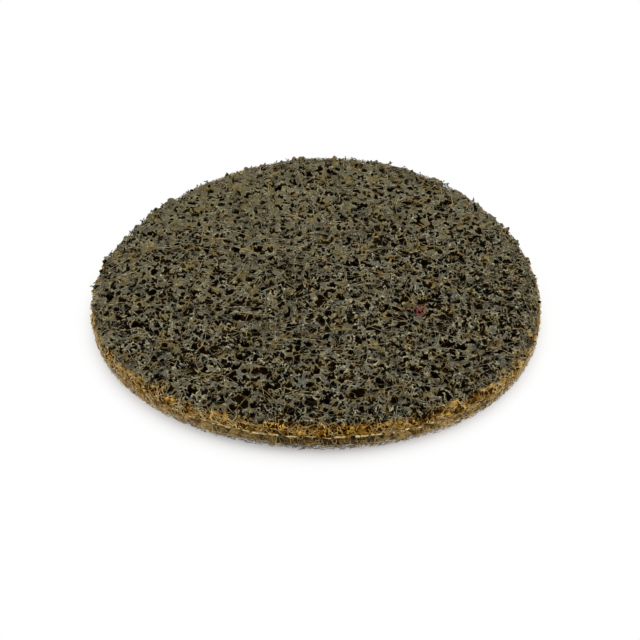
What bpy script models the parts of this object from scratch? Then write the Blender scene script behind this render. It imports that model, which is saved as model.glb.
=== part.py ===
"""Surface conditioning disc: a porous non-woven abrasive web, needled through a woven scrim into a nap.

The disc lies on its nap with the working face up. +Z is up, and the origin is the centre of the underside.
Sizes are in metres.
"""

import math

import bmesh
import bpy
import numpy as np
from mathutils import Vector, geometry, noise

MM = 0.001

# The disc and its three plies. The gap keeps neighbouring plies just clear of each other.
DISC_RADIUS = 57.5 * MM
WEB_THICKNESS = 2.2 * MM
SCRIM_THICKNESS = 0.4 * MM
NAP_THICKNESS = 3.7 * MM
PLY_GAP = 0.3 * MM

# The outline of a soft die-cut disc strays from a circle by an oval and a three-lobed wave.
OVAL_RISE = 0.5 * MM
OVAL_TURN = math.radians(53.5)
LOBE_RISE = 1.6 * MM
LOBE_TURN = math.radians(244.5)
UNDERCUT = 1.0 * MM  # how far the rim leans in from the working face to the underside
RIM_RAG = 0.35 * MM  # how far torn fibres carry the rim in and out

# The brow: the working face rolls over into the side wall in a quarter of an ellipse.
BROW_WIDTH = 1.9 * MM
BROW_DROP = 1.2 * MM
BROW_BANDS = 2

# The working face: resin film between open pores, with the film's corners on a jittered triangular lattice.
FILM_STEP = 1.7 * MM
FILM_JITTER = 0.27  # share of the step
FILM_RELIEF = 0.2 * MM
PORE_FLOOR = 0.5 * MM  # web left under the deepest pore
SHALLOWEST_PORE = 0.4  # share of the deepest
CLOSED_PATCH = 7.0 * MM  # size of the stretches where the film stays more closed
CLOSED_SHARE = 0.22  # share of the pores that such stretches close
WEB_SEED = 20

# The scrim's cut thread ends stand round its edge.
THREAD_PITCH = 2.0 * MM
THREAD_END = 0.5 * MM

# The nap is combed out a little at mid height and tucked in where it meets the surface below.
NAP_STEP = 2.5 * MM
NAP_BULGE = 0.3 * MM
NAP_TUCK = 0.6 * MM
NAP_BULGE_HEIGHT = 0.45  # share of the nap's thickness
NAP_SEED = 7

SCRIM_BASE = NAP_THICKNESS + PLY_GAP
WEB_BASE = SCRIM_BASE + SCRIM_THICKNESS + PLY_GAP
DISC_HEIGHT = WEB_BASE + WEB_THICKNESS


def material(name, colour, roughness):
    """A plain dull finish."""
    made = bpy.data.materials.new(name)
    made.use_nodes = True
    shader = made.node_tree.nodes["Principled BSDF"]
    shader.inputs["Base Color"].default_value = (*colour, 1.0)
    shader.inputs["Roughness"].default_value = roughness
    shader.inputs["Metallic"].default_value = 0.0
    return made


def side_radius(angle, height):
    """The disc's radius at an angle and a height, without torn fibres."""
    oval = OVAL_RISE * math.cos(2 * angle - OVAL_TURN)
    lobes = LOBE_RISE * math.cos(3 * angle - LOBE_TURN)
    lean = UNDERCUT * (1 - height / DISC_HEIGHT)
    return DISC_RADIUS + oval + lobes - lean


def angles_round(step):
    """Angles of evenly shared steps of about this length round the disc."""
    count = round(2 * math.pi * DISC_RADIUS / step)
    return [2 * math.pi * i / count for i in range(count)]


def ring(angles, height, offset, scatter=None):
    """Points round the disc at one height, moved out by an offset, and in or out by torn fibres."""
    points = []
    for angle in angles:
        radius = side_radius(angle, height) + offset
        if scatter:
            radius += RIM_RAG * scatter.uniform(-1, 1)
        points.append(Vector((radius * math.cos(angle), radius * math.sin(angle), height)))
    return points


def bridge(mesh, lower, upper):
    """Closes the band between two rings of vertices with triangles."""
    for i, corner in enumerate(lower):
        j = (i + 1) % len(lower)
        mesh.faces.new((corner, lower[j], upper[j]))
        mesh.faces.new((corner, upper[j], upper[i]))


def film_lattice(scatter):
    """Jittered lattice points that fill the film, and which of them may hold a pore.

    Every third point may, so each possible pore is ringed by six points of film.
    """
    row_height = FILM_STEP * math.sqrt(3) / 2
    edge_radius = DISC_RADIUS + OVAL_RISE + LOBE_RISE
    rows = math.ceil(edge_radius / row_height)
    columns = math.ceil(edge_radius / FILM_STEP) + rows
    clearance = BROW_WIDTH + RIM_RAG + 0.75 * FILM_STEP
    points = []
    pore_sites = []
    for row in range(-rows, rows + 1):
        for column in range(-columns, columns + 1):
            nudge = Vector(scatter.uniform(-1, 1, 2)) * FILM_JITTER * FILM_STEP
            point = Vector(((column + 0.5 * row) * FILM_STEP, row * row_height)) + nudge
            limit = side_radius(math.atan2(point.y, point.x), DISC_HEIGHT) - clearance
            if point.length < limit:
                points.append(point)
                pore_sites.append((column - row) % 3 == 0)
    return points, pore_sites


def pore_depth(point, scatter):
    """How far a pore sinks: nothing where the film stays closed."""
    closed = 2 * CLOSED_SHARE * (0.5 + noise.noise(point.to_3d() / CLOSED_PATCH))
    share = scatter.uniform(SHALLOWEST_PORE, 1.0)
    if scatter.uniform() < closed:
        return 0.0
    return share * (WEB_THICKNESS - PORE_FLOOR)


def film(mesh, lip, scatter):
    """The pitted film inside the lip's ring of points. Returns the lip's vertices."""
    inner, pore_sites = film_lattice(scatter)
    flat = [point.xy for point in lip] + inner
    borders = [(i, (i + 1) % len(lip)) for i in range(len(lip))]
    smallest_step = 0.01 * MM
    points, _, triangles, *_ = geometry.delaunay_2d_cdt(flat, borders, [], 1, smallest_step)
    can_sink = [False] * len(lip) + pore_sites
    vertices = []
    for point, pore in zip(points, can_sink):
        sink = FILM_RELIEF * scatter.uniform()
        if pore:
            sink = max(sink, pore_depth(point, scatter))
        vertices.append(mesh.verts.new((point.x, point.y, DISC_HEIGHT - sink)))
    for corners in triangles:
        mesh.faces.new([vertices[i] for i in corners])
    return vertices[: len(lip)]


def abrasive_web():
    """The working ply: a film pitted by pores, a rounded brow, a torn side wall and a flat back."""
    mesh = bmesh.new()
    scatter = np.random.default_rng(WEB_SEED)
    angles = angles_round(FILM_STEP)
    upper = film(mesh, ring(angles, DISC_HEIGHT, -BROW_WIDTH, scatter), scatter)
    for band in range(1, BROW_BANDS + 1):
        roll = 0.5 * math.pi * band / BROW_BANDS
        inset = BROW_WIDTH * (1 - math.sin(roll))
        drop = BROW_DROP * (1 - math.cos(roll))
        lower = [mesh.verts.new(point) for point in ring(angles, DISC_HEIGHT - drop, -inset, scatter)]
        bridge(mesh, lower, upper)
        upper = lower
    heel = [mesh.verts.new(point) for point in ring(angles, WEB_BASE, 0.0, scatter)]
    bridge(mesh, heel, upper)
    mesh.faces.new(heel[::-1])
    return finished("abrasive_web", mesh, material("grit_resin", (0.115, 0.108, 0.085), 0.8))


def reinforcing_scrim():
    """The woven cloth: a thin plate whose edge is toothed by the cut ends of its threads."""
    mesh = bmesh.new()
    angles = angles_round(0.5 * THREAD_PITCH)
    angles = angles[: len(angles) // 2 * 2]
    rings = []
    for height in (SCRIM_BASE, SCRIM_BASE + SCRIM_THICKNESS):
        ends = ring(angles, height, 0.5 * THREAD_END)
        gaps = ring(angles, height, -0.5 * THREAD_END)
        points = [gaps[i] if i % 2 else ends[i] for i in range(len(angles))]
        rings.append([mesh.verts.new(point) for point in points])
    lower, upper = rings
    bridge(mesh, lower, upper)
    mesh.faces.new(lower[::-1])
    mesh.faces.new(upper)
    return finished("reinforcing_scrim", mesh, material("scrim_yarn", (0.72, 0.62, 0.42), 0.7))


def backing_nap():
    """The fibres needled through the scrim: a soft flat-bottomed layer that a hook-faced pad grips."""
    mesh = bmesh.new()
    scatter = np.random.default_rng(NAP_SEED)
    angles = angles_round(NAP_STEP)
    profile = (
        (0.0, -NAP_TUCK),
        (NAP_BULGE_HEIGHT * NAP_THICKNESS, NAP_BULGE),
        (NAP_THICKNESS, 0.0),
    )
    rings = []
    for height, offset in profile:
        rings.append([mesh.verts.new(point) for point in ring(angles, height, offset, scatter)])
    for lower, upper in zip(rings, rings[1:]):
        bridge(mesh, lower, upper)
    mesh.faces.new(rings[0][::-1])
    mesh.faces.new(rings[-1])
    return finished("backing_nap", mesh, material("nap_fibre", (0.30, 0.19, 0.07), 0.9))


def finished(name, mesh, finish):
    """One named object from a mesh, with its flat faces cut into triangles."""
    bmesh.ops.triangulate(mesh, faces=[face for face in mesh.faces if len(face.verts) > 3])
    data = bpy.data.meshes.new(name)
    mesh.to_mesh(data)
    mesh.free()
    data.materials.append(finish)
    made = bpy.data.objects.new(name, data)
    bpy.context.collection.objects.link(made)
    return made


def centre(widest, plies):
    """Moves every ply so that the widest one's box is centred on the Z axis."""
    places = [vertex.co for vertex in widest.data.vertices]
    middle_x = (min(place.x for place in places) + max(place.x for place in places)) / 2
    middle_y = (min(place.y for place in places) + max(place.y for place in places)) / 2
    for ply in plies:
        ply.location = (-middle_x, -middle_y, 0.0)


def main():
    for old in list(bpy.data.objects):
        bpy.data.objects.remove(old)
    web = abrasive_web()
    centre(web, [web, reinforcing_scrim(), backing_nap()])


main()
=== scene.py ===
import math

import bpy
import numpy as np
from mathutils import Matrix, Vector


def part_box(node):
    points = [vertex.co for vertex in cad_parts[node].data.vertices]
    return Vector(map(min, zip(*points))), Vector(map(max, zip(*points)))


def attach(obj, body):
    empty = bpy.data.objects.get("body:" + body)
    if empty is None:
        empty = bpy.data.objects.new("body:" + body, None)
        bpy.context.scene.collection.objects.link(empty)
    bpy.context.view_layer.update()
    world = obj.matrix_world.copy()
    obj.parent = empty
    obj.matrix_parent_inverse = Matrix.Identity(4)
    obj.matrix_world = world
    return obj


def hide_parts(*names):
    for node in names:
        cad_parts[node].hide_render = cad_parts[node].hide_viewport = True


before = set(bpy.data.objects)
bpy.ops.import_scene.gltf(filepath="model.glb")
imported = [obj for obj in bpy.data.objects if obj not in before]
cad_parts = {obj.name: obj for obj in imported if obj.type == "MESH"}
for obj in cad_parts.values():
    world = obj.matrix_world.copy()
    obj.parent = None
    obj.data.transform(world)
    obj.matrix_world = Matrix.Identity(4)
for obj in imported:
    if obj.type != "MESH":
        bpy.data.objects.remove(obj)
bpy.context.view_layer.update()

MM = 0.001
TINY = 1e-12  # keeps a length of 0 from being divided by
UP = np.array([0.0, 0.0, 1.0])

# The camera, at the photograph's angle.
CAMERA_AIM = Vector((0.94 * MM, -9.19 * MM, 0.0))
CAMERA_ELEVATION = math.radians(40.17)
CAMERA_DISTANCE = 360.5 * MM
CAMERA_ANGLE = math.radians(26.0)

# A lamp above the disc and even light from all round. The floor fades to plain white past the disc.
LAMP_PLACE = (0.1, 0.25, 0.9)
LAMP_SIZE = 1.0
LAMP_POWER = 7.0
WORLD_STRENGTH = 0.5
FLOOR_HALF = 3.0
FLOOR_FADE = (55.5 * MM, 64 * MM)
FLOOR_GLOW = 0.27  # share of plain white under the disc

# The web's brow and side wall, as on the solid. The wall runs on down to the scrim.
BROW_WIDTH = 1.9 * MM
BROW_DROP = 1.2 * MM
BROW_ARC = 0.5 * math.pi * math.sqrt((BROW_WIDTH**2 + BROW_DROP**2) / 2)
BROW_APPROACH = 1.5 * MM  # the last of the face, where the rim's own shapes begin
WALL_OVERLAP = 0.08 * MM

# The fields that shape the web are drawn on a square grid over its unrolled face.
PIXEL = 0.09 * MM
GRID = 1440

# The film between the fibres. A blur or patch is a width, and a pull is how strongly it tells.
WEB_RINGS = 180
OPEN_SHARE = 0.315  # share of the face that is open
THREAD_BLUR = 0.11 * MM
THREAD_MOST = 1.6  # where many fibres cross, their film grows no thicker than this
CORNER_BLUR = 0.34 * MM
CORNER_PULL = 0.12
DENSE_BLUR = 0.25 * MM
PIT_BLUR = 0.55 * MM
PIT_PULL = 0.32
PIT_WARP = 0.275 * MM
WARP_PATCH = 1.6 * MM
EVEN_PATCH = 1.6 * MM
EVENNESS = 0.75
FILM_PATCHES = ((4.0 * MM, 0.05), (1.2 * MM, 0.26), (0.45 * MM, 0.03))  # stretches, cells, ragged edges
PIT_EDGE = 0.22
PIT_DEPTH = (0.9 * MM, 1.9 * MM)
DEPTH_PATCH = 1.6 * MM
RIM_PIT_DEPTH = 0.7 * MM
FILM_RELIEF = 0.14 * MM
LUMP_PATCH = 2.4 * MM
LUMP_RELIEF = 0.14 * MM
LUMP_DROP = 1.2
RIM_RAG = 0.266 * MM
RAG_PATCHES = (0.8 * MM, 2.2 * MM)
TUFT_PATCH = 0.95 * MM
TUFT_RISE = 0.68 * MM
TUFT_FROM, TUFT_MOST = 0.6, 1.6
TURNED_IN = 0.3 * MM  # how far the last ring of a layer dips under its neighbour

# The face is more closed towards its far left, from the first of these distances to the second.
FAR_LEAN = -0.35
FAR_START, FAR_END = -20 * MM, 60 * MM
FAR_PULL = 0.12

# The grit spray fades out over the brow, soonest at the front rim and later from the sides on.
SPRAY_FADE = 2.0 * MM
SPRAY_START = -0.6 * MM
SPRAY_LATER = 2.0 * MM
SPRAY_RAG = 0.5 * MM
SPRAY_PATCH = 2.2 * MM
SPRAY_BACK = (-0.93, -0.08)

# The web's fibres. A curl is the spread of their bends, and a radius is in millimetres.
STEP = 0.5 * MM
SHORTEST = 4  # points of the shortest strand that is kept
PUSH = 0.15 * MM
BEND_KEPT = 0.8
BEND_CHANGE = 0.6
TIP_SHARE = 0.45  # thickness of a strand's ends
FIBRE_POINTS = 24
NET_COUNT, NET_CURL = 1900, 0.3 / MM
FINE_COUNT, FINE_CURL = 660, 0.14 / MM
FINE_RADIUS = (0.045, 0.065)
DEEP_COUNT, DEEP_CURL = 330, 0.35 / MM
DEEP_RADIUS = (0.05, 0.08)
DEEP_SINK = (0.35, 1.1)
CURL_COUNT, CURL_POINTS, CURL_STEP, RIM_CURL = 2000, 14, 0.3 * MM, 0.5 / MM
CURL_RADIUS = (0.035, 0.07)
CLUMP_COUNT, CLUMP_STRANDS, CLUMP_POINTS = 120, 4, 6
CLUMP_SPREAD = 0.66  # share of half a turn to each side of the far end
CLUMP_WANDER = 0.6
CLUMP_CURL = 0.6  # how strongly a clump's strands turn back to the brow
CLUMP_SWELL = np.array([[0.9, 1.0, 1.2, 1.4, 1.2, 0.9]])
STRAY_COUNT, STRAY_POINTS = 16, 12
STRAY_PLACE = np.array([25.4, -14.2]) * MM

# The cloth's yarns, and their cut ends at the rim.
SCRIM_TURN = math.radians(-2.5)
SCRIM_YARNS = 33  # from the middle to the front rim
YARN_RADIUS = 0.27 * MM
YARN_STRAY = 0.04 * MM
YARN_DRIFT, YARN_DRIFT_LENGTH = 0.08 * MM, 9 * MM
YARN_KINK = 0.26 * MM
YARN_WEAVE = 0.16 * MM
END_POINTS = 9
END_OUT = 0.36 * MM
END_GAP = 2.4 * MM

# The nap's side leans in to the underside and swells fast from there.
BACK_TUCK = 0.5 * MM
SIDE_TUCK = 1.2 * MM
FELT_TUCK = 2.0 * MM
BACK_ROUND = 0.9 * MM
BACK_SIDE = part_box("backing_nap")[1].z + WALL_OVERLAP
BULGE_RATE = 1.6
LOWEST = 0.02 * MM

# The nap's felt and strands.
FELT_RINGS = 84
FELT_PATCH = 0.9 * MM
FELT_RELIEF = 0.16 * MM
FELT_DROP, FELT_DROP_SIDE = 3.2, 1.7
NAP_RADIUS = (0.045, 0.075)
SIDE_COUNT, SIDE_STEP, SIDE_CURL = 3400, 0.3 * MM, 1.9 / MM
SIDE_FIBRE_RADIUS = (0.035, 0.075)
SIDE_LOW, SIDE_TOP = 0.08 * MM, BACK_SIDE + 0.9 * MM
LOOP_COUNT, LOOP_POINTS = 300, 13
UNDER_COUNT, UNDER_CURL = 1900, 0.9 / MM
NAP_POINTS = 11

SCATTER = np.random.default_rng(11)
normal = SCATTER.normal
uniform = SCATTER.uniform


# Form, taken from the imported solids


def node_points(name):
    """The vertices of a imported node."""
    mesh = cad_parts[name].data
    places = np.empty(3 * len(mesh.vertices), np.float32)
    mesh.vertices.foreach_get("co", places)
    return places.reshape(-1, 3).astype(float)


def waves(angle, highest=8):
    """A constant and the sines and cosines of an angle's multiples, as columns."""
    columns = [np.ones_like(angle)]
    for k in range(1, highest + 1):
        columns += [np.cos(k * angle), np.sin(k * angle)]
    return np.stack(columns, axis=-1)


def polar(plane):
    """Each point's distance from the middle, and its angle."""
    return np.hypot(plane[..., 0], plane[..., 1]), np.arctan2(plane[..., 1], plane[..., 0])


def turned(radius, angle, *height):
    """Points at a radius and an angle, and at a height where one is given."""
    return np.stack([radius * np.cos(angle), radius * np.sin(angle), *height], axis=-1)


def unit(vectors):
    """The vectors at a length of 1."""
    return vectors / (np.linalg.norm(vectors, axis=-1, keepdims=True) + TINY)


def smooth_step(value):
    """Rises from 0 to 1 as the value does, level at both ends."""
    value = np.clip(value, 0, 1)
    return value * value * (3 - 2 * value)


def quarter(share):
    """A share of a quarter turn."""
    return np.clip(share, 0, 1) * 0.5 * math.pi


WEB_POINTS = node_points("abrasive_web")
WEB_BASE = WEB_POINTS[:, 2].min()
TOP = WEB_POINTS[:, 2].max()
HEEL_RADIUS, HEEL_ANGLE = polar(WEB_POINTS[WEB_POINTS[:, 2] < WEB_BASE + 0.01 * MM])
OUTLINE = np.linalg.lstsq(waves(HEEL_ANGLE), HEEL_RADIUS, rcond=None)[0]
SIDE_RADIUS = OUTLINE[0]
WALL = TOP - BROW_DROP - WEB_BASE + WALL_OVERLAP
FACE_REACH = float(np.max(OUTLINE[0] + np.abs(OUTLINE[1:]).sum())) - BROW_WIDTH + BROW_ARC + WALL


def edge_radius(angle):
    """The disc's radius at its side wall, without torn fibres."""
    return waves(angle) @ OUTLINE


def past_brow(plane):
    """How far each point of the unrolled face lies past the start of the brow."""
    radius, angle = polar(plane)
    return radius - edge_radius(angle) + BROW_WIDTH


def near_brow(past):
    """0 on the face, rising to 1 at the start of the brow."""
    return smooth_step((past + BROW_APPROACH) / BROW_APPROACH)


def wrap_face(plane, lift):
    """Lays points of the unrolled face over the web's top, brow and wall, lifted off it."""
    radius, angle = polar(plane)
    start = edge_radius(angle) - BROW_WIDTH
    past = radius - start
    roll = quarter(past / BROW_ARC)
    down = np.maximum(past - BROW_ARC, 0)
    radius = start + np.minimum(past, 0) + BROW_WIDTH * np.sin(roll) + lift * np.sin(roll)
    height = TOP - BROW_DROP * (1 - np.cos(roll)) - down + lift * np.cos(roll)
    return turned(radius, angle, height)


def bulge(height):
    """How far out the nap's side stands at a height, from 0 at the underside to 1."""
    return np.sin(quarter(np.clip(height / BACK_SIDE, 0, 1) * BULGE_RATE))


def wrap_back(plane, lift):
    """Lays points of the unrolled back over the nap's underside and side, lifted off it."""
    radius, angle = polar(plane)
    start = edge_radius(angle) - FELT_TUCK
    past = radius - start
    up = np.clip(past, 0, None)
    roll = quarter(past / BACK_ROUND)
    radius = start + np.minimum(past, 0) + FELT_TUCK * bulge(up) + lift * np.sin(roll)
    return turned(radius, angle, np.maximum(up - lift * np.cos(roll), LOWEST))


def wrap_side(plane, lift):
    """Lays points of the unrolled side, length round it and height, on the nap's side, lifted off it."""
    angle = plane[..., 0] / SIDE_RADIUS
    height = plane[..., 1]
    tuck = BACK_TUCK + SIDE_TUCK * np.cos(angle) ** 2
    return turned(edge_radius(angle) - tuck * (1 - bulge(height)) + lift, angle, height)


def laid_out(wrap, plane, lift):
    """Points laid by one of the wraps, and the way out of the surface at each."""
    laid = wrap(plane, lift)
    return laid, wrap(plane, lift + 0.1 * MM) - laid


# Fields over the unrolled face


def stamped(points, weight):
    """A grid holding the weight that falls in each cell."""
    cells = np.rint(points / PIXEL).astype(int) + GRID // 2
    cells = np.clip(cells, 0, GRID - 1)
    flat = cells[:, 1] * GRID + cells[:, 0]
    return np.bincount(flat, np.broadcast_to(weight, len(flat)), GRID * GRID).reshape(GRID, GRID)


def blurred(field, width):
    """The field under a Gaussian blur."""
    across = np.fft.rfftfreq(GRID, PIXEL)
    down = np.fft.fftfreq(GRID, PIXEL)
    fall = np.exp(-2 * (math.pi * width) ** 2 * (across[None, :] ** 2 + down[:, None] ** 2))
    return np.fft.irfft2(np.fft.rfft2(field) * fall, s=field.shape)


def patches(width):
    """Smooth random patches of about this size, with a mean of 0 and a spread of 1."""
    field = blurred(SCATTER.standard_normal((GRID, GRID)), 0.4 * width)
    return (field - field.mean()) / field.std()


def sampled(field, points):
    """The field's values at points, read between its cells."""
    at = np.clip(points / PIXEL + GRID // 2, 0, GRID - 1.001)
    cell = at.astype(int)
    share = at - cell
    column, row = cell[..., 0], cell[..., 1]
    right, up = share[..., 0], share[..., 1]
    low = field[row, column] * (1 - right) + field[row, column + 1] * right
    high = field[row + 1, column] * (1 - right) + field[row + 1, column + 1] * right
    return low * (1 - up) + high * up


def slopes(field):
    """The field's slopes along x and y."""
    along_y, along_x = np.gradient(field, PIXEL)
    return along_x, along_y


# Strands


def curling_lines(start, heading, count, step, curl):
    """Lines of points that wander from their starts, their bend changing slowly."""
    place = start.copy()
    bend = normal(0, curl, len(start))
    lines = [place.copy()]
    for _ in range(count - 1):
        bend = BEND_KEPT * bend + normal(0, BEND_CHANGE * curl, len(start))
        heading = heading + bend * step
        place = place + step * turned(1.0, heading)
        lines.append(place.copy())
    return np.stack(lines, axis=1)


def any_way(count):
    """Random headings."""
    return uniform(0, 2 * math.pi, count)


def spread_starts(count, reach):
    """Random points spread evenly over a disc."""
    angle = any_way(count)
    return turned(reach * np.sqrt(uniform(0, 1, count)), angle)


def each(low, high, count):
    """A random number for each strand, as a column."""
    return uniform(low, high, count)[:, None]


def cut_lengths(points, shortest, count):
    """How many of its points each strand keeps, from this share up to all."""
    return np.rint(points * uniform(shortest, 1.0, count)).astype(int)


def run_inside(inside):
    """How many points of each line lie inside before it first leaves."""
    outside = ~inside
    return np.where(outside.any(axis=1), outside.argmax(axis=1), inside.shape[1])


def long_enough(lines, lengths):
    """The lines that are long enough to keep, and their lengths."""
    keep = lengths >= SHORTEST
    return lines[keep], lengths[keep]


def along_strand(shape, size, smoothness=4):
    """Random numbers that change slowly along each strand."""
    values = normal(0, size, shape)
    kernel = np.hanning(smoothness + 2)[1:-1]
    kernel /= np.sqrt(np.sum(kernel**2))
    return np.apply_along_axis(lambda row: np.convolve(row, kernel, "same"), 1, values)


# Meshes


def linked(name, data):
    """A new object in the scene."""
    made = bpy.data.objects.new(name, data)
    bpy.context.scene.collection.objects.link(made)
    return made


def mesh_object(name, points, triangles, attributes, material):
    """A smooth-shaded mesh of triangles, with a number at each point for each attribute."""
    mesh = bpy.data.meshes.new(name)
    mesh.vertices.add(len(points))
    mesh.vertices.foreach_set("co", np.ascontiguousarray(points, np.float32).ravel())
    mesh.loops.add(triangles.size)
    mesh.loops.foreach_set("vertex_index", np.ascontiguousarray(triangles, np.int32).ravel())
    mesh.polygons.add(len(triangles))
    mesh.polygons.foreach_set("loop_start", np.arange(0, triangles.size, 3, dtype=np.int32))
    mesh.polygons.foreach_set("use_smooth", np.ones(len(triangles), bool))
    mesh.update(calc_edges=True)
    for key, values in attributes.items():
        layer = mesh.attributes.new(key, "FLOAT", "POINT")
        layer.data.foreach_set("value", np.ascontiguousarray(values, np.float32).ravel())
    mesh.materials.append(material)
    return linked(name, mesh)


def disc_grid(rings):
    """A disc of near-equilateral triangles: each point's share of the radius and angle, and the triangles."""
    shares = [np.zeros(1)]
    angles = [np.zeros(1)]
    triangles = []
    first = 0
    for ring in range(1, rings + 1):
        count = 6 * ring
        shares.append(np.full(count, ring / rings))
        angles.append(2 * math.pi * np.arange(count) / count)
        inner_count = max(1, 6 * (ring - 1))
        inner_first, first = first, first + inner_count
        for side in range(6):
            outer = first + side * ring + np.arange(ring + 1)
            inner = inner_first + side * (ring - 1) + np.arange(ring)
            outer = first + (outer - first) % count
            inner = inner_first + (inner - inner_first) % inner_count
            triangles.append(np.stack([inner, outer[:-1], outer[1:]], axis=1))
            triangles.append(np.stack([inner[:-1], outer[1:-1], inner[1:]], axis=1))
    return np.concatenate(shares), np.concatenate(angles), np.concatenate(triangles)


def closed_by_fan(points, triangles, rings):
    """Closes a disc grid's open rim, its last points, with a fan to a point in the middle."""
    count = 6 * rings
    rim = np.arange(len(points) - count, len(points))
    centre = np.array([[0.0, 0.0, points[-count:, 2].mean()]])
    fan = np.stack([np.roll(rim, -1), rim, np.full(count, len(points))], axis=1)
    return np.vstack([points, centre]), np.vstack([triangles, fan])


def tubes(name, lines, lengths, radius, normals, attributes, material):
    """Three-sided tubes along lines of points, each with its own count of points and its ends thinned.

    lines is strand by point by xyz, and radius and each attribute are one number for each strand or point.
    """
    strands, most, _ = lines.shape
    index = np.arange(most)
    last = lengths - 1
    along = unit(np.gradient(lines, axis=1))
    side = unit(np.cross(along, normals))
    up = np.cross(side, along)
    from_end = np.minimum(index[None, :], last[:, None] - index[None, :])
    thick = np.broadcast_to(radius, (strands, most)) * np.where(from_end <= 0, TIP_SHARE, 1.0)
    corners = []
    for corner in range(3):
        turn = math.pi * (0.5 + 2 * corner / 3)
        out = math.cos(turn) * side + math.sin(turn) * up
        corners.append(lines + out * thick[..., None])
    points = np.stack(corners, axis=2)
    inside = index[None, :] < lengths[:, None]
    number = np.cumsum(inside.ravel()).reshape(strands, most) - 1
    segment = inside[:, 1:] & inside[:, :-1]
    here = 3 * number[:, :-1][segment]
    there = 3 * number[:, 1:][segment]
    faces = []
    for a, b in ((0, 1), (1, 2), (2, 0)):
        faces += [(here + a, here + b, there + b), (here + a, there + b, there + a)]
    start = 3 * number[:, 0]
    stop = 3 * number[np.arange(strands), last]
    faces += [(start, start + 2, start + 1), (stop, stop + 1, stop + 2)]
    triangles = np.concatenate([np.stack(face, axis=1) for face in faces])
    kept = {
        key: np.repeat(np.broadcast_to(values, (strands, most))[inside], 3)
        for key, values in attributes.items()
    }
    return mesh_object(name, points[inside].reshape(-1, 3), triangles, kept, material)


def placed(piece, replaced=None):
    """Fixes a piece to the disc and hides the solid that it stands for."""
    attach(piece, "root")
    if replaced:
        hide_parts(replaced)


# Shader nodes


def feed(node, inputs):
    """Links or sets a node's inputs."""
    for key, value in inputs.items():
        if isinstance(value, bpy.types.NodeSocket):
            node.id_data.links.new(value, node.inputs[key])
        else:
            node.inputs[key].default_value = value


def add(tree, kind, inputs, **settings):
    """A shader node with its inputs linked or set."""
    made = tree.nodes.new(kind)
    for key, value in settings.items():
        setattr(made, key, value)
    feed(made, inputs)
    return made


def new_material(name):
    """A material, its node tree and its Principled shader."""
    made = bpy.data.materials.new(name)
    made.use_nodes = True
    tree = made.node_tree
    return made, tree, tree.nodes["Principled BSDF"]


def reading(tree, name):
    """The value of a mesh attribute."""
    return add(tree, "ShaderNodeAttribute", {}, attribute_name=name).outputs["Fac"]


def object_place(tree):
    """Where a point is on the object."""
    return add(tree, "ShaderNodeTexCoord", {}).outputs["Object"]


def object_axis(tree, axis):
    """Where a point is along one of the object's axes."""
    return add(tree, "ShaderNodeSeparateXYZ", {0: object_place(tree)}).outputs[axis]


def noise(tree, size, detail=2.0):
    """Noise of about this size over the object, from 0 to 1."""
    inputs = {"Vector": object_place(tree), "Scale": 1 / size, "Detail": detail}
    return add(tree, "ShaderNodeTexNoise", inputs).outputs["Fac"]


def tree_of(*values):
    """The node tree of the first socket among the values."""
    return next(value.id_data for value in values if isinstance(value, bpy.types.NodeSocket))


def vector_node(operation, *values, output="Vector"):
    """The result of a Vector Math node."""
    made = add(tree_of(*values), "ShaderNodeVectorMath", dict(enumerate(values)), operation=operation)
    return made.outputs[output]


def math_node(operation, *values, clamp=False):
    """The result of a Math node."""
    inputs = dict(enumerate(values))
    made = add(tree_of(*values), "ShaderNodeMath", inputs, operation=operation, use_clamp=clamp)
    return made.outputs[0]


def chain(operation):
    """A function that takes values together, one after another, by Math nodes."""

    def joined(*values):
        result = values[0]
        for value in values[1:]:
            result = math_node(operation, result, value)
        return result

    return joined


product = chain("MULTIPLY")
total = chain("ADD")
difference = chain("SUBTRACT")
largest = chain("MAXIMUM")


def inverse(share):
    """What a share leaves of 1."""
    return difference(1.0, share)


def stretched(value, low, high):
    """A value spread so that low gives 0 and high gives 1."""
    inputs = {"Value": value, "From Min": low, "From Max": high}
    return add(tree_of(value), "ShaderNodeMapRange", inputs, clamp=True).outputs["Result"]


def ranged(share, low, high):
    """A share turned into a value from low to high."""
    inputs = {"Value": share, "To Min": low, "To Max": high}
    return add(tree_of(share), "ShaderNodeMapRange", inputs).outputs["Result"]


def noise_between(tree, size, detail, low, high):
    """Noise spread so that low gives 0 and high gives 1."""
    return stretched(noise(tree, size, detail), low, high)


def uneven(tree, size, detail, strength):
    """Noise round 0, of this strength from its lowest to its highest."""
    return product(difference(noise(tree, size, detail), 0.5), strength)


def ramp(value, stops):
    """A colour ramp through (place, colour) stops."""
    made = add(tree_of(value), "ShaderNodeValToRGB", {"Fac": value})
    elements = made.color_ramp.elements
    while len(elements) < len(stops):
        elements.new(1.0)
    for element, (place, colour) in zip(elements, stops):
        element.position = place
        element.color = colour
    return made.outputs["Color"]


def mixed(factor, first, second, blend="MIX"):
    """Two colours mixed by a factor."""
    tree = tree_of(factor, first, second)
    inputs = {0: factor, 6: first, 7: second}
    return add(tree, "ShaderNodeMix", inputs, data_type="RGBA", blend_type=blend).outputs[2]


def mottled(colour, size, low, high, strength):
    """A colour made lighter and darker by noise, by up to this share."""
    dark, light = [(level, level, level, 1) for level in (1 - strength, 1 + strength)]
    shade = noise_between(tree_of(colour), size, 1.0, low, high)
    shade = ramp(shade, [(0.0, dark), (1.0, light)])
    return mixed(1.0, colour, shade, "MULTIPLY")


def bumped(shader, height, distance, strength):
    """Gives the shader a relief."""
    inputs = {"Height": height, "Distance": distance, "Strength": strength}
    feed(shader, {"Normal": add(shader.id_data, "ShaderNodeBump", inputs).outputs["Normal"]})


# Finishes


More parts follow.
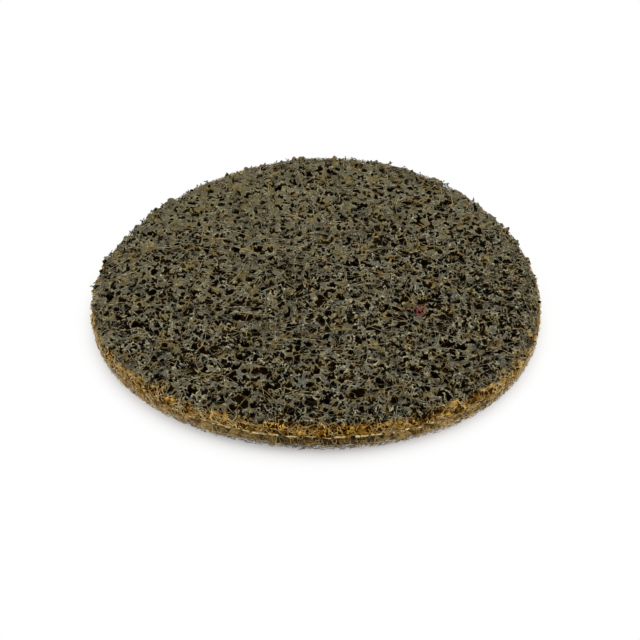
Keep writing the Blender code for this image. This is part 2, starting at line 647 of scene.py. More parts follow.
def srgb(red, green, blue):
    """A colour read off a screen, 0 to 255, as the linear colour that a shader takes."""
    parts = np.array([red, green, blue]) / 255
    linear = np.where(parts <= 0.04045, parts / 12.92, ((parts + 0.055) / 1.055) ** 2.4)
    return (*map(float, linear), 1.0)


def stops(places, *colours):
    """A ramp's stops, from their places and their screen colours."""
    return [(place, srgb(*colour)) for place, colour in zip(places, colours)]


FILM_TAN = srgb(120, 112, 82)
FILM_LINE = srgb(190, 179, 138)
FILM_BLUE = srgb(92, 95, 84)
FILM_OLIVE = srgb(115, 98, 45)
FILM_GOLD = srgb(150, 124, 62)
FILM_FAR = srgb(106, 99, 72)
# Painted highlight: the colour of the bright glinting dots on the grit.
PAINTED_GLINT = srgb(240, 234, 206)
PORE_BROWN = srgb(38, 23, 2)
# The pores' near black and dark brown are painted shade inside them, over the brown resin's own colour.
FILM_STOPS = stops(  # from the bottom of a pore, over its edge, to the film
    (0.0, 0.1, 0.26, 0.32, 0.38, 0.48),
    (4, 2, 0), (4, 2, 0), (38, 23, 2), (146, 136, 104), (146, 136, 104), (101, 96, 81),
)
GOLD_PLACES = (0.0, 0.24, 0.36, 0.55, 0.95)
GOLD = stops(GOLD_PLACES, (52, 26, 2), (104, 66, 11), (154, 110, 30), (186, 142, 54), (218, 176, 90))
# The second gold stops are painted side light: paler for the rim's lit left and right.
SIDE_LIT_GOLD = stops(GOLD_PLACES, (58, 34, 4), (104, 68, 14), (144, 104, 36), (184, 144, 66), (222, 186, 108))
FACE_FIBRE = stops((0.0, 0.4, 0.75, 1.0), (54, 50, 36), (95, 91, 72), (152, 142, 108), (216, 205, 166))
STRAND_PLACES = (0.0, 0.5, 1.0)
RIM_FIBRE = stops(STRAND_PLACES, (116, 82, 22), (196, 158, 78), (250, 230, 168))
# The second rim fibre stops are painted side light: paler for the rim's lit left and right.
SIDE_LIT_RIM_FIBRE = stops(STRAND_PLACES, (128, 92, 32), (208, 168, 90), (252, 236, 184))
NAP_FIBRE = stops(STRAND_PLACES, (60, 40, 7), (154, 118, 46), (244, 214, 140))
# The second nap fibre stops are painted side light: paler for the rim's lit left and right.
SIDE_LIT_NAP_FIBRE = stops(STRAND_PLACES, (108, 78, 30), (218, 180, 106), (254, 242, 196))
FELT_PLACES = (0.15, 0.5, 0.85)
FELT = stops(FELT_PLACES, (22, 13, 0), (60, 42, 8), (122, 93, 34))
# The second felt stops are painted side light: paler for the rim's lit left and right.
SIDE_LIT_FELT = stops(FELT_PLACES, (74, 50, 14), (164, 124, 56), (240, 204, 128))
YARN_CREAM, YARN_STAIN = srgb(255, 234, 172), srgb(222, 172, 86)
STRAY_DARK, STRAY_PALE = srgb(142, 48, 40), srgb(204, 112, 98)

# Where the painted side light shows: across the disc, and out towards its rim.
MIDDLE_SIDE_LIGHT = 0.5
SIDE_LIGHT_ACROSS = (8 * MM, 32 * MM)
SIDE_LIGHT_OUT = (46 * MM, 54 * MM)
CELL_LENGTH = 1.4  # the cells are this much longer from front to back than across
CELL_SWAY = 0.9
FOAM_LAYERS = ((1.5 * MM, 0.37), (0.95 * MM, 0.56), (0.7 * MM, 0.3))  # a cell's size, and the share open
SOFT_EDGE = 0.02
# Size, share and roundness of the painted glints on the grit.
PAINTED_GLINT_SIZE, PAINTED_GLINT_SHARE, PAINTED_GLINT_RADIUS = 1.2 * MM, 0.05, 0.14


def painted_side_light(tree):
    """Painted side light: 0 at the rim's front and back, 1 at its left and right, which are painted paler for
    the light that falls there, and between them inside the rim.
    """
    across = stretched(math_node("ABSOLUTE", object_axis(tree, "X")), *SIDE_LIGHT_ACROSS)
    out = stretched(vector_node("LENGTH", object_place(tree), output="Value"), *SIDE_LIGHT_OUT)
    return total(product(difference(across, MIDDLE_SIDE_LIGHT), out), MIDDLE_SIDE_LIGHT)


def golden(tone, usual, pale):
    """A colour by tone, with painted side light: the paler stops at the rim's left and right stand in for the
    light that falls there.
    """
    return mixed(painted_side_light(tree_of(tone)), ramp(tone, usual), ramp(tone, pale))


def warmth(tree):
    """Patches of the face, from 0 to 1, where the resin is thin and the fibres show golden brown."""
    return noise_between(tree, 3.6 * MM, 3.0, 0.5, 0.62)


def far_share(tree):
    """0 on the near half of the face, rising to 1 at its far left."""
    toward = vector_node("DOT_PRODUCT", object_place(tree), (FAR_LEAN, 1.0, 0.0), output="Value")
    return stretched(toward, FAR_START, FAR_END)


def voronoi(tree, place, size, feature):
    """A pattern of cells of about this size."""
    return add(tree, "ShaderNodeTexVoronoi", {"Vector": place, "Scale": 1 / size}, feature=feature).outputs


def foam(tree, size, share, region):
    """Foam-like cells: whether a point is in an open one, in a wall, and in the wall of an open one."""
    place = vector_node("MULTIPLY", object_place(tree), (1.0, 1 / CELL_LENGTH, 1.0))
    inputs = {"Vector": place, "Scale": 0.6 / size, "Detail": 0.0}
    sway = vector_node("SUBTRACT", add(tree, "ShaderNodeTexNoise", inputs).outputs["Color"], [0.5] * 3)
    sway = vector_node("MULTIPLY", sway, [CELL_SWAY * size] * 3)
    place = vector_node("ADD", place, sway)
    from_wall = voronoi(tree, place, size, "DISTANCE_TO_EDGE")["Distance"]
    colour = voronoi(tree, place, size, "F1")["Color"]
    chance = total(add(tree, "ShaderNodeSeparateColor", {"Color": colour}).outputs[0], region)
    is_open = stretched(chance, 1 - share - SOFT_EDGE, 1 - share + SOFT_EDGE)
    wall = inverse(stretched(from_wall, 0.05, 0.1))
    inside = product(stretched(from_wall, 0.12, 0.15), is_open)
    return inside, wall, product(wall, is_open)


def painted_glints(tree):
    """Painted glints: small round dots in a few of the cells of a scattered pattern."""
    found = voronoi(tree, object_place(tree), PAINTED_GLINT_SIZE, "F1")
    near = inverse(stretched(found["Distance"], 0.7 * PAINTED_GLINT_RADIUS, 1.3 * PAINTED_GLINT_RADIUS))
    chosen = add(tree, "ShaderNodeSeparateColor", {"Color": found["Color"]}).outputs[1]
    return product(near, stretched(chosen, 0.99 - PAINTED_GLINT_SHARE, 1 - PAINTED_GLINT_SHARE))


def face_colour(tree, height, covered, warm, farther):
    """The grey film by its height over the pores, with bluer, tan, olive and golden stretches."""
    blue = noise_between(tree, 3.0 * MM, 2.0, 0.42, 0.6)
    flat = stretched(height, 0.42, 0.56)
    dense = stretched(reading(tree, "thread"), 0.25, 0.9)
    grit = noise_between(tree, 0.8 * MM, 3.0, 0.5, 0.6)
    beside_pore = difference(covered, stretched(height, 0.4, 0.48))
    layers = (
        (PORE_BROWN, (warm, inverse(covered), 0.55)),
        (FILM_BLUE, (blue, flat)),
        (FILM_FAR, (farther, flat, 0.75)),
        (FILM_TAN, (dense, grit, 0.4, covered)),
        (FILM_OLIVE, (warm, covered, 0.45)),
        (FILM_GOLD, (warm, beside_pore, 0.7)),
    )
    face = ramp(height, FILM_STOPS)
    for colour, shares in layers:
        face = mixed(product(*shares), face, colour)
    return face


def lined(tree, face, lines, covered, warm, farther):
    """The face with pale lines along the walls of its pores, fainter towards its far left."""
    kept = noise_between(tree, 1.4 * MM, 2.0, 0.46, 0.58)
    nearer = inverse(product(farther, 0.6))
    shown = product(largest(*lines), covered, kept, nearer, 0.8)
    return mixed(shown, face, mixed(product(warm, 0.7), FILM_LINE, FILM_GOLD))


def film_material():
    """Grit and resin: grey film with tan edges, pores painted near black for the shade inside them, and gold
    at the rim, paler at its left and right as painted side light.
    """
    made, tree, shader = new_material("grit_film")
    farther = far_share(tree)
    rim = reading(tree, "rim")
    region = difference(uneven(tree, 4.5 * MM, 2.0, 0.7), product(farther, 0.3))
    region = total(region, product(rim, 0.1))
    cells, walls, lines = zip(*(foam(tree, size, share, region) for size, share in FOAM_LAYERS))
    # The foam's open cells are holes in colour and bump only, painted near black as their shade.
    pores = largest(*cells)
    field = total(reading(tree, "film"), uneven(tree, 0.4 * MM, 3.0, 0.08))
    field = difference(field, product(pores, total(field, 0.3)))
    height = stretched(field, -0.3, 0.7)
    covered = stretched(height, 0.27, 0.38)
    warm = warmth(tree)
    face = face_colour(tree, height, covered, warm, farther)
    face = lined(tree, face, lines[:2], covered, warm, farther)
    # The rim's gold, painted paler at its left and right as side light.
    colour = mixed(rim, face, golden(height, GOLD, SIDE_LIT_GOLD))
    colour = mottled(colour, 0.55 * MM, 0.34, 0.66, 0.28)
    colour = mottled(colour, 0.36 * MM, 0.32, 0.68, 0.2)
    # Painted glints: bright dots on the film that stand for light glancing off its grit.
    pale = product(painted_glints(tree), stretched(height, 0.3, 0.4))
    colour = mixed(pale, colour, PAINTED_GLINT)
    rough = ranged(noise_between(tree, 0.25 * MM, 2.0, 0.2, 0.8), 0.55, 0.9)
    feed(shader, {"Base Color": colour, "Roughness": rough, "Specular IOR Level": 0.02})
    relief = difference(product(noise(tree, 0.14 * MM, 3.0), 0.3), pores)
    relief = total(relief, product(walls[1], 0.25))
    bumped(shader, relief, 0.16 * MM, 0.8)
    return made


def strand_tone(tree, size, strength):
    """A strand's own tone, uneven along it."""
    grain = uneven(tree, size, 2.0, strength)
    return math_node("ADD", reading(tree, "tone"), grain, clamp=True)


def fibre_material():
    """The web's fibre, coloured by its strand's tone: resin on the face and bare gold at the rim, painted
    paler at the rim's left and right as side light.
    """
    made, tree, shader = new_material("coated_fibre")
    tone = strand_tone(tree, 0.9 * MM, 1.4)
    rim = golden(tone, RIM_FIBRE, SIDE_LIT_RIM_FIBRE)
    face = mixed(product(warmth(tree), 0.36), ramp(tone, FACE_FIBRE), rim)
    colour = mixed(reading(tree, "rim"), face, rim)
    feed(shader, {"Base Color": colour, "Roughness": 0.5, "Specular IOR Level": 0.15})
    return made


def stray_material():
    """Red fibre."""
    made, tree, shader = new_material("stray_red")
    shade = noise_between(tree, 0.8 * MM, 2.0, 0.3, 0.7)
    feed(shader, {"Base Color": mixed(shade, STRAY_DARK, STRAY_PALE), "Roughness": 0.5})
    return made


def yarn_material():
    """Cream spun yarn, with a fine grain and browner stains."""
    made, tree, shader = new_material("cream_yarn")
    stain = noise_between(tree, 1.2 * MM, 3.0, 0.45, 0.7)
    feed(shader, {"Base Color": mixed(stain, YARN_CREAM, YARN_STAIN), "Roughness": 0.6})
    bumped(shader, noise(tree, 0.1 * MM), 0.03 * MM, 0.8)
    return made


def felt_material():
    """The packed fibres behind the loose ones: brown, mottled, with painted shade in its hollows, and paler
    at the rim's left and right as painted side light.
    """
    made, tree, shader = new_material("nap_felt")
    mottle = noise_between(tree, 0.5 * MM, 4.0, 0.3, 0.7)
    # Painted shade: the felt is darker where its relief is low.
    painted_hollow_shade = stretched(reading(tree, "film"), -0.6, 0.6)
    side = stretched(object_axis(tree, "Z"), 0.3 * MM, 1.5 * MM)
    contrast = total(product(side, 0.35), 0.35)
    around = difference(total(mottle, painted_hollow_shade), 1.0)
    tone = total(product(around, contrast), 0.5)
    feed(shader, {"Base Color": golden(tone, FELT, SIDE_LIT_FELT), "Roughness": 0.85})
    bumped(shader, noise(tree, 0.2 * MM, 3.0), 0.08 * MM, 0.9)
    return made


def nap_fibre_material():
    """Loose needled fibres: golden brown with pale and dark strands, painted paler at the rim's left and
    right as side light.
    """
    made, tree, shader = new_material("nap_strand")
    colour = golden(strand_tone(tree, 0.8 * MM, 0.8), NAP_FIBRE, SIDE_LIT_NAP_FIBRE)
    feed(shader, {"Base Color": colour, "Roughness": 0.5, "Specular IOR Level": 0.3})
    return made


# The web's film


def warped(field, reach, width):
    """The field with round shapes turned irregular: each point is taken from a little way off."""
    rows, columns = np.indices(field.shape)
    moved = []
    for index in (columns, rows):
        shift = np.rint(patches(width) * reach / PIXEL).astype(int)
        moved.append(np.clip(index + shift, 0, GRID - 1))
    return field[moved[1], moved[0]]


def pit_field():
    """An uneven mound over each of the solid's pores, as high as the pore is deep."""
    sunk = TOP - WEB_POINTS[:, 2]
    inner = past_brow(WEB_POINTS[:, :2]) < -0.5 * MM
    pits = (sunk > 0.45 * MM) & inner & (WEB_POINTS[:, 2] > WEB_BASE + 0.1 * MM)
    drawn = stamped(WEB_POINTS[pits][:, :2], sunk[pits] / (TOP - WEB_BASE))
    mounds = blurred(drawn, PIT_BLUR) * 2 * math.pi * (PIT_BLUR / PIXEL) ** 2
    return blurred(warped(mounds, PIT_WARP, WARP_PATCH), PIXEL)


def pushed(lines, pits):
    """Moves fibres off the pores, as the real ones bound them."""
    pit_slopes = slopes(pits)
    steep = 0.5 / PIT_BLUR
    for _ in range(2):
        slope = np.stack([sampled(part, lines) for part in pit_slopes], axis=-1)
        size = np.linalg.norm(slope, axis=-1, keepdims=True)
        lines = lines - PUSH * unit(slope) * np.clip(size / steep, 0, 1)
    return lines


def film_field(lines, lengths, pits):
    """Film over and between the fibres, above 0 but for the pores, and how densely the fibres lie."""
    inside = np.arange(lines.shape[1])[None, :] < lengths[:, None]
    between = inside[:, 1:] & inside[:, :-1]
    here, there = lines[:, :-1][between], lines[:, 1:][between]
    parts = (0.0, 0.2, 0.4, 0.6, 0.8)
    points = np.concatenate([here * (1 - share) + there * share for share in parts])
    drawn = stamped(points, STEP / len(parts))
    root = math.sqrt(2 * math.pi)
    thread = blurred(drawn, THREAD_BLUR) * root * THREAD_BLUR / PIXEL**2
    thread = THREAD_MOST * (1 - np.exp(-thread / THREAD_MOST))
    corners = blurred(drawn, CORNER_BLUR) * root * CORNER_BLUR / PIXEL**2
    field = thread + CORNER_PULL * corners - PIT_PULL * pits
    field -= EVENNESS * blurred(field, EVEN_PATCH)
    for width, pull in FILM_PATCHES:
        field += pull * patches(width)
    sides = (np.arange(GRID) - GRID // 2) * PIXEL
    farther = sides[:, None] + FAR_LEAN * sides[None, :]
    field += FAR_PULL * smooth_step((farther - FAR_START) / (FAR_END - FAR_START))
    face = np.hypot(sides[None, :], sides[:, None]) < FACE_REACH - 3 * MM
    return field - np.quantile(field[face], OPEN_SHARE), blurred(thread, DENSE_BLUR)


def rimness(past, spray, plane):
    """0 on the grit-coated face, rising to 1 on the brow and wall that the grit spray missed."""
    low, high = SPRAY_BACK
    back = plane[..., 1] / (np.hypot(plane[..., 0], plane[..., 1]) + 0.01 * MM)
    later = SPRAY_LATER * smooth_step((back - low) / (high - low))
    return smooth_step((past - SPRAY_START - later + SPRAY_RAG * sampled(spray, plane)) / SPRAY_FADE)


def snapped(plane, field, reach):
    """Moves points near the film's edge onto it, so that the pores are crisp."""
    along_x, along_y = slopes(field)
    for _ in range(2):
        value = sampled(field, plane)
        slope = np.stack([sampled(along_x, plane), sampled(along_y, plane)], axis=-1)
        move = -value[:, None] * slope / (np.sum(slope**2, axis=-1, keepdims=True) + TINY)
        size = np.linalg.norm(move, axis=-1, keepdims=True)
        plane = plane + np.where(size < reach, move, 0)
    return plane


def film_lift(film, past, plane):
    """How far the film stands off the solid's face: pores, lumps, a ragged rim and the brow's tufts."""
    shallow, deepest = PIT_DEPTH
    depth = shallow + (deepest - shallow) * smooth_step(0.5 + 0.3 * sampled(patches(DEPTH_PATCH), plane))
    near_rim = near_brow(past)
    depth = depth * (1 - near_rim) + RIM_PIT_DEPTH * near_rim
    lift = -depth * smooth_step(-film / PIT_EDGE) + FILM_RELIEF * np.clip(film, 0, 1)
    lift += LUMP_RELIEF * (sampled(patches(LUMP_PATCH), plane) - LUMP_DROP)
    for width in RAG_PATCHES:
        lift += near_rim * RIM_RAG * sampled(patches(width), plane)
    brow = near_rim * (1 - smooth_step((past - 0.5 * BROW_ARC) / BROW_ARC))
    tufts = np.clip(sampled(patches(TUFT_PATCH), plane) - TUFT_FROM, 0, TUFT_MOST)
    return lift + TUFT_RISE * brow * tufts * (film > 0)


def web_film(field, thread, spray):
    """The film with its pores, over the top, brow and wall, closed underneath."""
    shares, angles, triangles = disc_grid(WEB_RINGS)
    plane = turned(shares * (edge_radius(angles) - BROW_WIDTH + BROW_ARC + WALL), angles)
    spacing = FACE_REACH / WEB_RINGS
    inner = shares < 1 - 1.5 / WEB_RINGS
    nudge = uniform(-0.2, 0.2, plane.shape) * spacing
    moved = snapped(plane + nudge, field, 0.4 * spacing)
    plane = np.where(inner[:, None], moved, plane)
    film = sampled(field, plane)
    past = past_brow(plane)
    lift = np.where(shares == 1, -TURNED_IN, film_lift(film, past, plane))
    points, triangles = closed_by_fan(wrap_face(plane, lift), triangles, WEB_RINGS)
    attributes = {
        "film": np.append(film, 0),
        "thread": np.append(sampled(thread, plane), 0),
        "rim": np.append(rimness(past, spray, plane), 1),
    }
    made = mesh_object("web_film", points, triangles, attributes, film_material())
    placed(made, "abrasive_web")


# The web's fibres


def face_lines(count, curl):
    """Curling fibres all over the unrolled face, and how many of each one's points lie on it."""
    start = spread_starts(count, FACE_REACH)
    lines = curling_lines(start, any_way(count), FIBRE_POINTS, STEP, curl)
    lengths = run_inside(past_brow(lines) < BROW_ARC + WALL - 0.1 * MM)
    return long_enough(lines, np.minimum(lengths, cut_lengths(FIBRE_POINTS, 0.4, count)))


def net_strands(lines, lengths):
    """The fibres that carry the film. Paler strands are the thicker ones, which stand out of it."""
    count = len(lines)
    pale = uniform(0, 1, count) > 0.93
    tone = np.where(pale, uniform(0.6, 0.85, count), uniform(0.15, 0.5, count))[:, None]
    lift = (0.08 * tone - 0.03) * MM + along_strand(lines.shape[:2], 0.045 * MM)
    return lines, lengths, lift, 0.045 + 0.03 * tone, tone


def fine_strands():
    """Long pale strands over the face."""
    lines, lengths = face_lines(FINE_COUNT, FINE_CURL)
    tone = each(0.5, 0.92, len(lines))
    lift = 0.06 * MM + along_strand(lines.shape[:2], 0.06 * MM)
    return lines, lengths, lift, each(*FINE_RADIUS, len(lines)), tone


def deep_strands():
    """Dark strands that cross the pores lower down."""
    lines, lengths = face_lines(DEEP_COUNT, DEEP_CURL)
    radius = each(*DEEP_RADIUS, len(lines))
    lift = -each(*DEEP_SINK, len(lines)) * MM * (1 - 0.6 * near_brow(past_brow(lines)))
    return lines, lengths, lift, radius, each(0.0, 0.25, len(lines))


def rim_strands():
    """Curling fibres over the brow and wall, most of them running round the disc."""
    angle = any_way(CURL_COUNT)
    past = uniform(-0.6 * MM, BROW_ARC + WALL + 0.5 * MM, CURL_COUNT)
    start = turned(edge_radius(angle) - BROW_WIDTH + past, angle)
    either = 0.5 * math.pi * SCATTER.choice([-1, 1], CURL_COUNT)
    heading = angle + either + normal(0, 0.7, CURL_COUNT)
    lines = curling_lines(start - 2 * CURL_STEP, heading, CURL_POINTS, CURL_STEP, RIM_CURL)
    lines, lengths = long_enough(lines, run_inside(past_brow(lines) < BROW_ARC + WALL + 0.7 * MM))
    radius = each(*CURL_RADIUS, len(lines))
    lift = 0.1 * MM + along_strand(lines.shape[:2], 0.16 * MM)
    return lines, lengths, lift, radius, each(0.0, 1.0, len(lines))


def add_tufts(material):
    """Small clumps of coated fibre that stand off the brow, most of them at the far side."""
    strands = CLUMP_COUNT * CLUMP_STRANDS
    angle = math.pi * (0.5 + CLUMP_SPREAD * uniform(-1, 1, CLUMP_COUNT))
    radius = edge_radius(angle) - uniform(0.0, 1.2, CLUMP_COUNT) * MM
    root = turned(radius, angle, TOP - uniform(0.2, 0.7, CLUMP_COUNT) * MM)
    step = (0.13 + 0.33 * uniform(0, 1, CLUMP_COUNT) ** 2) * MM
    out = unit(turned(1.0, angle, uniform(0.3, 1.6, CLUMP_COUNT)))
    root, step, out = (np.repeat(part, CLUMP_STRANDS, axis=0) for part in (root, step, out))
    place = root + normal(0, 0.12 * MM, (strands, 3))
    way = out
    lines = [place]
    for i in range(CLUMP_POINTS - 1):
        way = way + normal(0, CLUMP_WANDER, way.shape)
        if i > 1:
            way = way - CLUMP_CURL * out
        way = unit(way)
        place = place + step[:, None] * way
        place[:, 2] = np.clip(place[:, 2], WEB_BASE, TOP + 1.2 * MM)
        lines.append(place)
    lines = np.stack(lines, axis=1)
    lengths = SCATTER.integers(SHORTEST, CLUMP_POINTS + 1, strands)
    radius = each(0.06, 0.15, strands) * CLUMP_SWELL * MM
    normals = UP + normal(0, 0.1, lines.shape)
    attributes = {"tone": each(0.0, 0.35, strands), "rim": np.zeros((strands, 1))}
    made = tubes("edge_tufts", lines, lengths, radius, normals, attributes, material)
    placed(made)


def add_stray_fibres():
    """A few stray red fibres caught in the face."""
    shape = (STRAY_COUNT, STRAY_POINTS)
    start = STRAY_PLACE + normal(0, 0.7 * MM, (STRAY_COUNT, 2))
    heading = normal(0.1, 0.7, STRAY_COUNT)
    lines = curling_lines(start, heading, STRAY_POINTS, 0.3 * MM, 0.7 / MM)
    laid, normals = laid_out(wrap_face, lines, 0.12 * MM + along_strand(shape, 0.08 * MM))
    lengths = SCATTER.integers(6, STRAY_POINTS + 1, STRAY_COUNT)
    made = tubes("stray_red_fibres", laid, lengths, 0.06 * MM, normals, {}, stray_material())
    placed(made)


def build_web():
    """The film and the fibres in, on and under it."""
    pits = pit_field()
    spray = patches(SPRAY_PATCH)
    lines, lengths = face_lines(NET_COUNT, NET_CURL)
    lines = pushed(lines, pits)
    field, thread = film_field(lines, lengths, pits)
    web_film(field, thread, spray)
    material = fibre_material()
    kinds = {
        "net_fibres": lambda: net_strands(lines, lengths),
        "fine_fibres": fine_strands,
        "deep_fibres": deep_strands,
        "rim_fibres": rim_strands,
    }
    for name, strands in kinds.items():
        plane, points, lift, radius, tone = strands()
        laid, normals = laid_out(wrap_face, plane, lift)
        attributes = {"tone": tone, "rim": rimness(past_brow(plane), spray, plane)}
        placed(tubes(name, laid, points, radius * MM, normals, attributes, material))
    add_tufts(material)
    add_stray_fibres()


# The scrim


def yarn(number, way, pitch, points, height):
    """The points of one yarn that lie on the disc, over and under the yarns that cross it."""
    across = number * pitch + normal(0, YARN_STRAY)
    along = (np.arange(points) - points // 2) * 0.5 * pitch
    drift = YARN_DRIFT * np.sin(along / YARN_DRIFT_LENGTH + number)
    drift = drift + YARN_KINK * np.sin(math.pi * along / pitch + number)
    line = np.stack([along, across + drift], axis=1)
    if way:
        line = line[:, ::-1]
    cos, sin = math.cos(SCRIM_TURN), math.sin(SCRIM_TURN)
    line = line @ np.array([[cos, sin], [-sin, cos]])
    radius, angle = polar(line)
    inside = radius < edge_radius(angle) + uniform(-0.5, 0.2) * MM
    rows = inside.argmax() + np.arange(inside.sum())
    over = np.where((rows + number + way) % 2 == 0, 1.0, -1.0) * YARN_WEAVE
    return np.column_stack([line[rows], height + over])


def build_scrim():
    """The woven cloth, thread by thread, with its cut ends at the rim."""
    low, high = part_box("reinforcing_scrim")
    middle = 0.5 * (low.z + high.z)
    front = float(edge_radius(np.array([SCRIM_TURN - 0.5 * math.pi]))[0])
    pitch = (front + 0.1 * MM) / SCRIM_YARNS
    reach = 0.5 * max(high.x - low.x, high.y - low.y)
    count = int(reach / pitch)
    most = int(2 * reach / (0.5 * pitch)) + 4
    lines = []
    lengths = []
    for way in (0, 1):
        for number in range(-count, count + 1):
            line = yarn(number, way, pitch, most, middle)
            if len(line) < SHORTEST:
                continue
            lines.append(np.vstack([line, np.repeat(line[-1:], most - len(line), axis=0)]))
            lengths.append(len(line))
    lines = np.array(lines)
    normals = np.broadcast_to(UP, lines.shape)
    scrim = tubes("woven_scrim", lines, np.array(lengths), YARN_RADIUS, normals, {}, yarn_material())
    placed(scrim, "reinforcing_scrim")
    add_yarn_ends(high.z)


def add_yarn_ends(height):
    """Cut ends of the cloth's yarns against the web's side: long where a yarn runs along the rim."""
    angle = 0.0
    lines = []
    thick = []
    while angle < 2 * math.pi:
        along_rim = max(0.0, 1 - abs(math.sin(2 * (angle - SCRIM_TURN))) / 0.85)
        length = (0.5 + 2.8 * along_rim) * uniform(0.3, 1.2) * MM
        angles = angle + np.linspace(0, length, END_POINTS) / SIDE_RADIUS
        radius = edge_radius(angles) + END_OUT + normal(0, 0.04 * MM, END_POINTS)
        level = height + uniform(0.35, 0.85) * MM + normal(0, 0.06 * MM, END_POINTS)
        lines.append(turned(radius, angles, level))
        angle = angles[-1] + uniform(0.1, 1.0) ** 2 * END_GAP / SIDE_RADIUS
        own = 0.08 + 0.26 * uniform(0, 1) ** 1.2
        thick.append(own * (0.5 + 0.5 * min(1.0, 1.6 * along_rim)) * MM)
    lines = np.array(lines)
    lengths = np.full(len(lines), END_POINTS)
    outward = unit(lines * (1 - UP))
    lines += 0.1 * MM * outward
    ends = tubes("yarn_ends", lines, lengths, np.array(thick)[:, None], outward, {}, yarn_material())
    placed(ends)


# The nap


def add_felt():
    """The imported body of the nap."""
    shares, angles, triangles = disc_grid(FELT_RINGS)
    plane = turned(shares * (edge_radius(angles) - FELT_TUCK + BACK_SIDE), angles)
    film = sampled(patches(FELT_PATCH), plane)
    up_side = smooth_step((past_brow(plane) - BROW_WIDTH + FELT_TUCK) / BACK_ROUND)
    lift = FELT_RELIEF * (film - FELT_DROP + FELT_DROP_SIDE * up_side)
    lift = np.where(shares == 1, -TURNED_IN, lift)
    points, triangles = closed_by_fan(wrap_back(plane, lift), triangles, FELT_RINGS)
    attributes = {"film": np.append(film, 0)}
    felt = mesh_object("nap_felt", points, triangles[:, ::-1], attributes, felt_material())
    placed(felt, "backing_nap")


def side_strands():
    """Tangled strands over the nap's side."""
    count = SIDE_COUNT
    along = uniform(0, 2 * math.pi * SIDE_RADIUS, count)
    height = (BACK_SIDE + 0.7 * MM) * uniform(0, 1, count) ** 1.3
    start = np.stack([along, height], axis=1)
    curls = curling_lines(start, any_way(count), NAP_POINTS, SIDE_STEP, SIDE_CURL)
    curls[..., 1] = SIDE_LOW + np.abs(curls[..., 1] - SIDE_LOW)
    curls[..., 1] = SIDE_TOP - np.abs(SIDE_TOP - curls[..., 1])
    room = (FELT_TUCK - BACK_TUCK) * (1 - bulge(curls[..., 1]))
    lift = each(-1.0, 0.05, count) * room + 0.1 * MM + along_strand(curls.shape[:2], 0.16 * MM)
    laid, outward = laid_out(wrap_side, curls, lift)
    lengths = cut_lengths(NAP_POINTS, 0.5, count)
    radius = each(*SIDE_FIBRE_RADIUS, count)
    return laid, lengths, radius, outward, 0.95 * each(0.0, 1.0, count) ** 1.6


def loop_strands():
    """Loops that hang from under the scrim, a little off the nap's side."""
    count = LOOP_COUNT
    turn = np.linspace(0, math.pi, LOOP_POINTS)[None, :]
    across = each(0.3, 1.8, count) * MM
    drop = each(1.0, 3.3, count) * MM
    out = each(0.1, 0.65, count) * MM
    along = each(0, 2 * math.pi * SIDE_RADIUS, count) - across * np.cos(turn)
    height = BACK_SIDE + 0.2 * MM - drop * np.sin(turn)
    loops = np.stack([along, height], axis=-1) + along_strand(height.shape, 0.12 * MM)[..., None]
    loops[..., 1] = np.maximum(loops[..., 1], 0.06 * MM)
    lift = out * np.sin(turn) + along_strand(height.shape, 0.08 * MM)
    laid, outward = laid_out(wrap_side, loops, lift)
    lengths = cut_lengths(LOOP_POINTS, 0.55, count)
    return laid, lengths, each(*NAP_RADIUS, count), outward, each(0.45, 1.0, count)


def under_strands():
    """A mat of strands under the felt."""
    start = spread_starts(UNDER_COUNT, FACE_REACH - 3 * MM)
    curls = curling_lines(start, any_way(UNDER_COUNT), NAP_POINTS, STEP, UNDER_CURL)
    lengths = run_inside(past_brow(curls) < BROW_WIDTH - FELT_TUCK)
    curls, lengths = long_enough(curls, np.minimum(lengths, cut_lengths(NAP_POINTS, 0.5, UNDER_COUNT)))
    height = np.maximum(0.28 * MM + along_strand(curls.shape[:2], 0.13 * MM), 0.07 * MM)
    laid = np.concatenate([curls, height[..., None]], axis=-1)
    down = np.broadcast_to(-UP, laid.shape)
    return laid, lengths, each(*NAP_RADIUS, len(laid)), down, each(0.0, 1.0, len(laid))


def build_nap():
    """The needled fibres: a felt body and loose strands over its side and underside."""
    add_felt()
    material = nap_fibre_material()
    kinds = {
        "nap_side_fibres": side_strands,
        "nap_loops": loop_strands,
        "nap_under_fibres": under_strands,
    }
    for name, strands in kinds.items():
        laid, lengths, radius, outward, tone = strands()
        made = tubes(name, laid, lengths, radius * MM, outward, {"tone": tone}, material)
        placed(made)


# Camera, light and floor


def add_camera():
    """The camera, level from side to side."""
    camera = linked("camera", bpy.data.cameras.new("camera"))
    out = Vector((0, -math.cos(CAMERA_ELEVATION), math.sin(CAMERA_ELEVATION)))
    camera.location = CAMERA_AIM + CAMERA_DISTANCE * out
    camera.rotation_euler = (0.5 * math.pi - CAMERA_ELEVATION, 0, 0)
    camera.data.angle = CAMERA_ANGLE
    camera.data.clip_start = 10 * MM
    camera.data.clip_end = 10.0
    bpy.context.scene.camera = camera


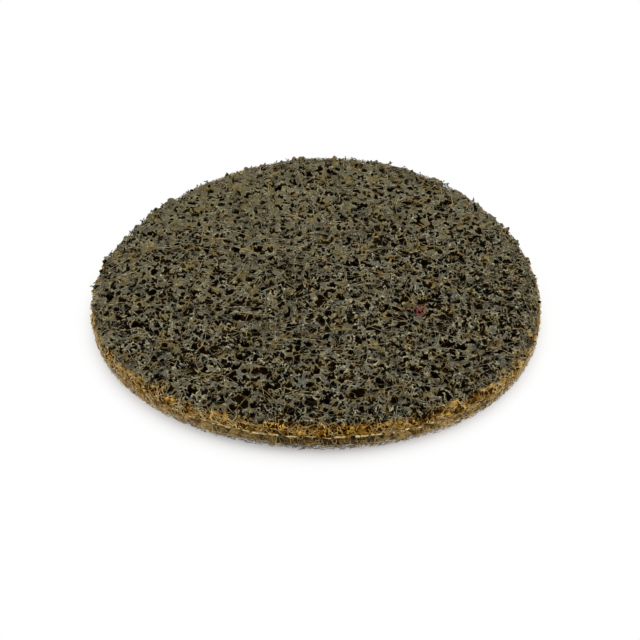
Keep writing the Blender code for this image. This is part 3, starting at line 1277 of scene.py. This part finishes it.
def add_lamp():
    """A round soft lamp, turned to the disc."""
    lamp = bpy.data.lights.new("softbox", "AREA")
    lamp.shape = "DISK"
    lamp.size = LAMP_SIZE
    lamp.energy = LAMP_POWER
    made = linked("softbox", lamp)
    made.location = LAMP_PLACE
    made.rotation_euler = (-Vector(LAMP_PLACE)).to_track_quat("-Z", "Y").to_euler()


def add_world():
    """Even white light from all round, and a white background."""
    world = bpy.data.worlds.new("studio")
    world.use_nodes = True
    tree = world.node_tree
    tree.nodes.clear()
    path = add(tree, "ShaderNodeLightPath", {}).outputs
    seen = largest(path["Is Camera Ray"], path["Is Glossy Ray"], path["Is Transmission Ray"])
    inputs = {"Color": (1, 1, 1, 1), "Strength": ranged(seen, WORLD_STRENGTH, 1.0)}
    white = add(tree, "ShaderNodeBackground", inputs)
    add(tree, "ShaderNodeOutputWorld", {"Surface": white.outputs[0]})
    bpy.context.scene.world = world


def add_floor():
    """A pale floor that takes the disc's shadow and turns plain white away from it."""
    mesh = bpy.data.meshes.new("floor")
    ways = ((-1, -1), (1, -1), (1, 1), (-1, 1))
    mesh.from_pydata([(FLOOR_HALF * x, FLOOR_HALF * y, 0) for x, y in ways], [], [(0, 1, 2, 3)])
    made, tree, shader = new_material("floor_white")
    plain = {"Base Color": (0.93, 0.93, 0.93, 1), "Roughness": 0.9, "Specular IOR Level": 0.0}
    feed(shader, plain)
    away = vector_node("LENGTH", object_place(tree), output="Value")
    away = ranged(stretched(away, *FLOOR_FADE), FLOOR_GLOW, 1.0)
    path = add(tree, "ShaderNodeLightPath", {}).outputs
    seen = product(away, path["Is Camera Ray"])
    white = add(tree, "ShaderNodeEmission", {"Color": (1, 1, 1, 1), "Strength": 1.0})
    blend = add(tree, "ShaderNodeMixShader", {0: seen, 1: shader.outputs[0], 2: white.outputs[0]})
    feed(tree.nodes["Material Output"], {"Surface": blend.outputs[0]})
    mesh.materials.append(made)
    linked("floor", mesh)


bpy.context.scene.view_settings.view_transform = "Standard"
add_camera()
add_lamp()
add_world()
add_floor()
build_web()
build_scrim()
build_nap()
